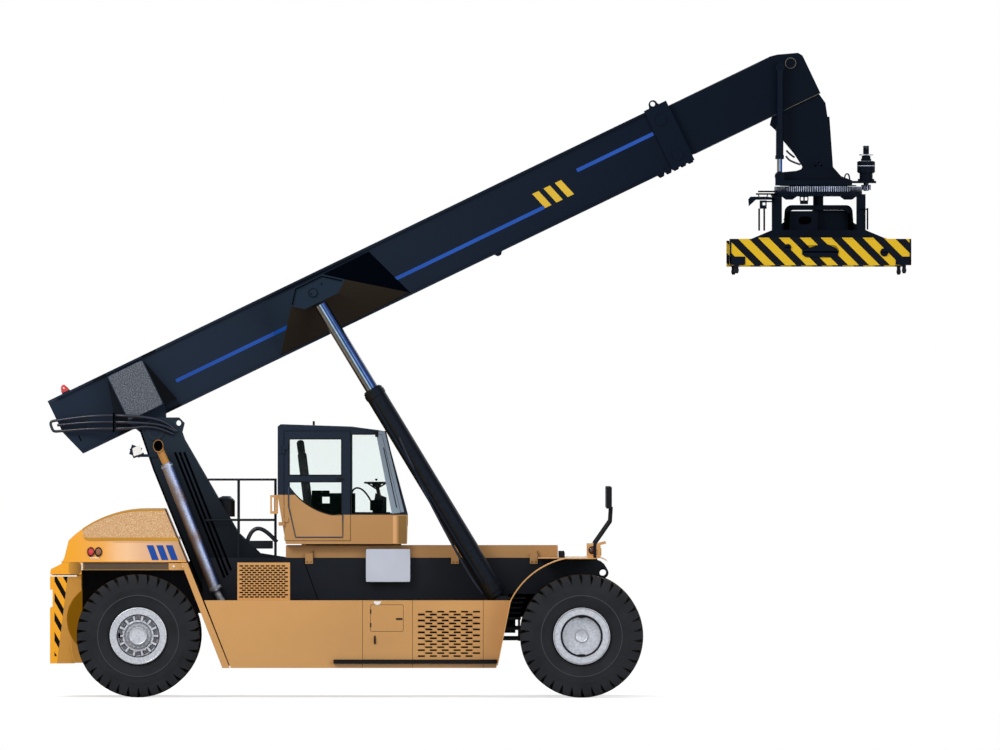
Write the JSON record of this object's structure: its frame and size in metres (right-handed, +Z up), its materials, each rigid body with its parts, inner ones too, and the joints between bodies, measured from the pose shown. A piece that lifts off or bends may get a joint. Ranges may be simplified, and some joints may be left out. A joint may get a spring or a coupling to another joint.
{
  "type": "reach stacker",
  "caption": "Wheeled container handler with a telescopic lift boom, a hanging turning spreader with four twistlocks, a sliding cab and rear-wheel steering.",
  "frame": {"origin": "under the middle of the machine at ground level", "axes": "+X to the front, +Y to the machine's left, +Z up"},
  "size_m": [11.6861, 6.1, 8.7351],
  "materials": {
    "tan_paint": "satin",
    "orange_paint": "satin",
    "navy_paint": "satin",
    "frame_paint": "satin",
    "hazard_paint": "satin",
    "silver_paint": "satin",
    "steel": "brushed",
    "rod_chrome": "polished",
    "gear_steel": "machined",
    "tyre_rubber": "matte",
    "window_glass": "clear",
    "seat_fabric": "woven",
    "black_plastic": "matte",
    "panel_paint": "satin",
    "heat_shield": "perforated",
    "cast_hub": "painted"
  },
  "bodies": {
    "chassis": {"chassis_frame": "frame_paint", "powertrain": "frame_paint", "counterweight": "orange_paint", "rear_hood": "tan_paint", "tower": "navy_paint", "side_body_right": "tan_paint", "side_body_left": "tan_paint", "cab_rails": "tan_paint", "fenders": "tan_paint", "tower_braces": "navy_paint", "mirrors": "black_plastic", "valve_chest": "panel_paint", "drive_axle": "frame_paint", "steer_axle": "frame_paint", "exhaust": "heat_shield", "guard_rail": "frame_paint", "air_cleaner": "black_plastic", "floodlight": "silver_paint"},
    "cab": {"cab_frame": "navy_paint", "cab_glass": "window_glass", "operator_seat": "seat_fabric", "cab_console": "black_plastic"},
    "door": {"cab_door": "navy_paint", "door_glass": "window_glass"},
    "boom": {"boom_outer": "navy_paint", "lift_bracket_right": "navy_paint", "lift_bracket_left": "navy_paint"},
    "boom_inner": {"boom_inner": "navy_paint"},
    "neck": {"neck_frame": "navy_paint", "slew_motor": "frame_paint"},
    "pinion": {"slew_pinion": "gear_steel"},
    "rotator": {"slew_ring": "gear_steel", "rotator_frame": "navy_paint"},
    "spreader": {"spreader_frame": "navy_paint"},
    "lift_barrel_right": {"lift_barrel_right": "navy_paint"},
    "lift_rod_right": {"lift_rod_right": "rod_chrome"},
    "tilt_barrel_right": {"tilt_barrel_right": "navy_paint"},
    "tilt_rod_right": {"tilt_rod_right": "rod_chrome"},
    "beam_right": {"spreader_beam_right": "hazard_paint"},
    "twistlock_rear_right": {"twistlock_rear_right": "steel"},
    "twistlock_front_right": {"twistlock_front_right": "steel"},
    "front_wheels_right": {"wheel_front_right": "silver_paint", "tyre_front_right_inner": "tyre_rubber", "tyre_front_right_outer": "tyre_rubber"},
    "knuckle_right": {"knuckle_right": "cast_hub"},
    "rear_wheel_right": {"wheel_rear_right": "silver_paint", "tyre_rear_right": "tyre_rubber"},
    "lift_barrel_left": {"lift_barrel_left": "navy_paint"},
    "lift_rod_left": {"lift_rod_left": "rod_chrome"},
    "tilt_barrel_left": {"tilt_barrel_left": "navy_paint"},
    "tilt_rod_left": {"tilt_rod_left": "rod_chrome"},
    "beam_left": {"spreader_beam_left": "hazard_paint"},
    "twistlock_rear_left": {"twistlock_rear_left": "steel"},
    "twistlock_front_left": {"twistlock_front_left": "steel"},
    "front_wheels_left": {"wheel_front_left": "silver_paint", "tyre_front_left_inner": "tyre_rubber", "tyre_front_left_outer": "tyre_rubber"},
    "knuckle_left": {"knuckle_left": "cast_hub"},
    "rear_wheel_left": {"wheel_rear_left": "silver_paint", "tyre_rear_left": "tyre_rubber"}
  },
  "joints": [
    {"name": "boom_lift", "type": "hinge", "parent": "chassis", "child": "boom", "pos_m": [-4.387, 0, 3.604], "axis": [0, -1, 0], "range_deg": [-25.8, 34.2]},
    {"name": "boom_extend", "type": "slide", "parent": "boom", "child": "boom_inner", "axis": [0.9003, 0, 0.4352], "range_m": [0, 6.8]},
    {"name": "neck_level", "type": "hinge", "parent": "boom_inner", "child": "neck", "pos_m": [4.23516, 0, 8.59516], "axis": [0, -1, 0], "range_deg": [-34.7, 26.3]},
    {"name": "spreader_turn", "type": "hinge", "parent": "neck", "child": "rotator", "pos_m": [4.612, 0, 6.886], "axis": [0, 0, 1], "range_deg": [-105, 195]},
    {"name": "pinion_turn", "type": "hinge", "parent": "neck", "child": "pinion", "pos_m": [5.262, 0, 6.91], "axis": [0, 0, 1], "range_deg": [-1920, 1040]},
    {"name": "spreader_shift", "type": "slide", "parent": "rotator", "child": "spreader", "axis": [0, -1, 0], "range_m": [-0.8, 0.8]},
    {"name": "lift_swing_right", "type": "hinge", "parent": "chassis", "child": "lift_barrel_right", "pos_m": [0.34, -1.11, 1.221], "axis": [0, -1, 0], "range_deg": [-3.36, 4.42]},
    {"name": "lift_stroke_right", "type": "slide", "parent": "lift_barrel_right", "child": "lift_rod_right", "axis": [-0.5181, 0, 0.8553], "range_m": [-1.2551, 1.6545]},
    {"name": "tilt_swing_right", "type": "hinge", "parent": "boom_inner", "child": "tilt_barrel_right", "pos_m": [4.093, -0.39, 8.538], "axis": [0, -1, 0], "range_deg": [-36.33, 27.56]},
    {"name": "tilt_stroke_right", "type": "slide", "parent": "tilt_barrel_right", "child": "tilt_rod_right", "axis": [-0.0041, 0, -1], "range_m": [-0.0785, 0.0596]},
    {"name": "beam_out_right", "type": "slide", "parent": "spreader", "child": "beam_right", "axis": [0, -1, 0], "range_m": [0, 3.05]},
    {"name": "twistlock_turn_rear_right", "type": "hinge", "parent": "beam_right", "child": "twistlock_rear_right", "pos_m": [3.4825, -2.9265, 5.8], "axis": [0, 0, 1], "range_deg": [0, 90]},
    {"name": "twistlock_turn_front_right", "type": "hinge", "parent": "beam_right", "child": "twistlock_front_right", "pos_m": [5.7415, -2.9265, 5.8], "axis": [0, 0, 1], "range_deg": [0, 90]},
    {"name": "front_wheel_right_roll", "type": "hinge", "parent": "chassis", "child": "front_wheels_right", "pos_m": [1.395, -1.535, 0.833], "axis": [0, 1, 0], "continuous": true},
    {"name": "steer_right", "type": "hinge", "parent": "chassis", "child": "knuckle_right", "pos_m": [-4.605, -1.1, 0.833], "axis": [0, 0, 1], "range_deg": [-45, 45]},
    {"name": "rear_wheel_right_roll", "type": "hinge", "parent": "knuckle_right", "child": "rear_wheel_right", "pos_m": [-4.605, -1.4, 0.833], "axis": [0, 1, 0], "continuous": true},
    {"name": "lift_swing_left", "type": "hinge", "parent": "chassis", "child": "lift_barrel_left", "pos_m": [0.34, 1.11, 1.221], "axis": [0, -1, 0], "range_deg": [-3.36, 4.42]},
    {"name": "lift_stroke_left", "type": "slide", "parent": "lift_barrel_left", "child": "lift_rod_left", "axis": [-0.5181, 0, 0.8553], "range_m": [-1.2551, 1.6545]},
    {"name": "tilt_swing_left", "type": "hinge", "parent": "boom_inner", "child": "tilt_barrel_left", "pos_m": [4.093, 0.39, 8.538], "axis": [0, -1, 0], "range_deg": [-36.33, 27.56]},
    {"name": "tilt_stroke_left", "type": "slide", "parent": "tilt_barrel_left", "child": "tilt_rod_left", "axis": [-0.0041, 0, -1], "range_m": [-0.0785, 0.0596]},
    {"name": "beam_out_left", "type": "slide", "parent": "spreader", "child": "beam_left", "axis": [0, 1, 0], "range_m": [0, 3.05]},
    {"name": "twistlock_turn_rear_left", "type": "hinge", "parent": "beam_left", "child": "twistlock_rear_left", "pos_m": [3.4825, 2.9265, 5.8], "axis": [0, 0, 1], "range_deg": [0, 90]},
    {"name": "twistlock_turn_front_left", "type": "hinge", "parent": "beam_left", "child": "twistlock_front_left", "pos_m": [5.7415, 2.9265, 5.8], "axis": [0, 0, 1], "range_deg": [0, 90]},
    {"name": "front_wheel_left_roll", "type": "hinge", "parent": "chassis", "child": "front_wheels_left", "pos_m": [1.395, 1.535, 0.833], "axis": [0, 1, 0], "continuous": true},
    {"name": "steer_left", "type": "hinge", "parent": "chassis", "child": "knuckle_left", "pos_m": [-4.605, 1.1, 0.833], "axis": [0, 0, 1], "range_deg": [-45.5, 45.5]},
    {"name": "rear_wheel_left_roll", "type": "hinge", "parent": "knuckle_left", "child": "rear_wheel_left", "pos_m": [-4.605, 1.4, 0.833], "axis": [0, 1, 0], "continuous": true},
    {"name": "cab_slide", "type": "slide", "parent": "chassis", "child": "cab", "axis": [-1, 0, 0], "range_m": [-1.4, 0]},
    {"name": "door_swing", "type": "hinge", "parent": "cab", "child": "door", "pos_m": [-2.64, -0.866, 2.86], "axis": [0, 0, -1], "range_deg": [0, 80]}
  ],
  "couplings": [
    {"joint": "neck_level", "follows": "boom_lift", "ratio": -1},
    {"joint": "pinion_turn", "follows": "spreader_turn", "ratio": -9.8333},
    {"joint": "lift_swing_right", "follows": "boom_lift", "ratio": 0.1271},
    {"joint": "lift_stroke_right", "follows": "boom_lift", "m_per_rad": 2.724},
    {"joint": "tilt_swing_right", "follows": "boom_lift", "ratio": -1.0441},
    {"joint": "tilt_stroke_right", "follows": "boom_lift", "m_per_rad": -0.1293},
    {"joint": "twistlock_turn_front_right", "follows": "twistlock_turn_rear_right", "ratio": 1},
    {"joint": "lift_swing_left", "follows": "boom_lift", "ratio": 0.1271},
    {"joint": "lift_stroke_left", "follows": "boom_lift", "m_per_rad": 2.724},
    {"joint": "tilt_swing_left", "follows": "boom_lift", "ratio": -1.0441},
    {"joint": "tilt_stroke_left", "follows": "boom_lift", "m_per_rad": -0.1293},
    {"joint": "twistlock_turn_rear_left", "follows": "twistlock_turn_rear_right", "ratio": 1},
    {"joint": "twistlock_turn_front_left", "follows": "twistlock_turn_rear_right", "ratio": 1},
    {"joint": "beam_out_left", "follows": "beam_out_right", "ratio": 1},
    {"joint": "steer_left", "follows": "steer_right", "ratio": 1}
  ]
}
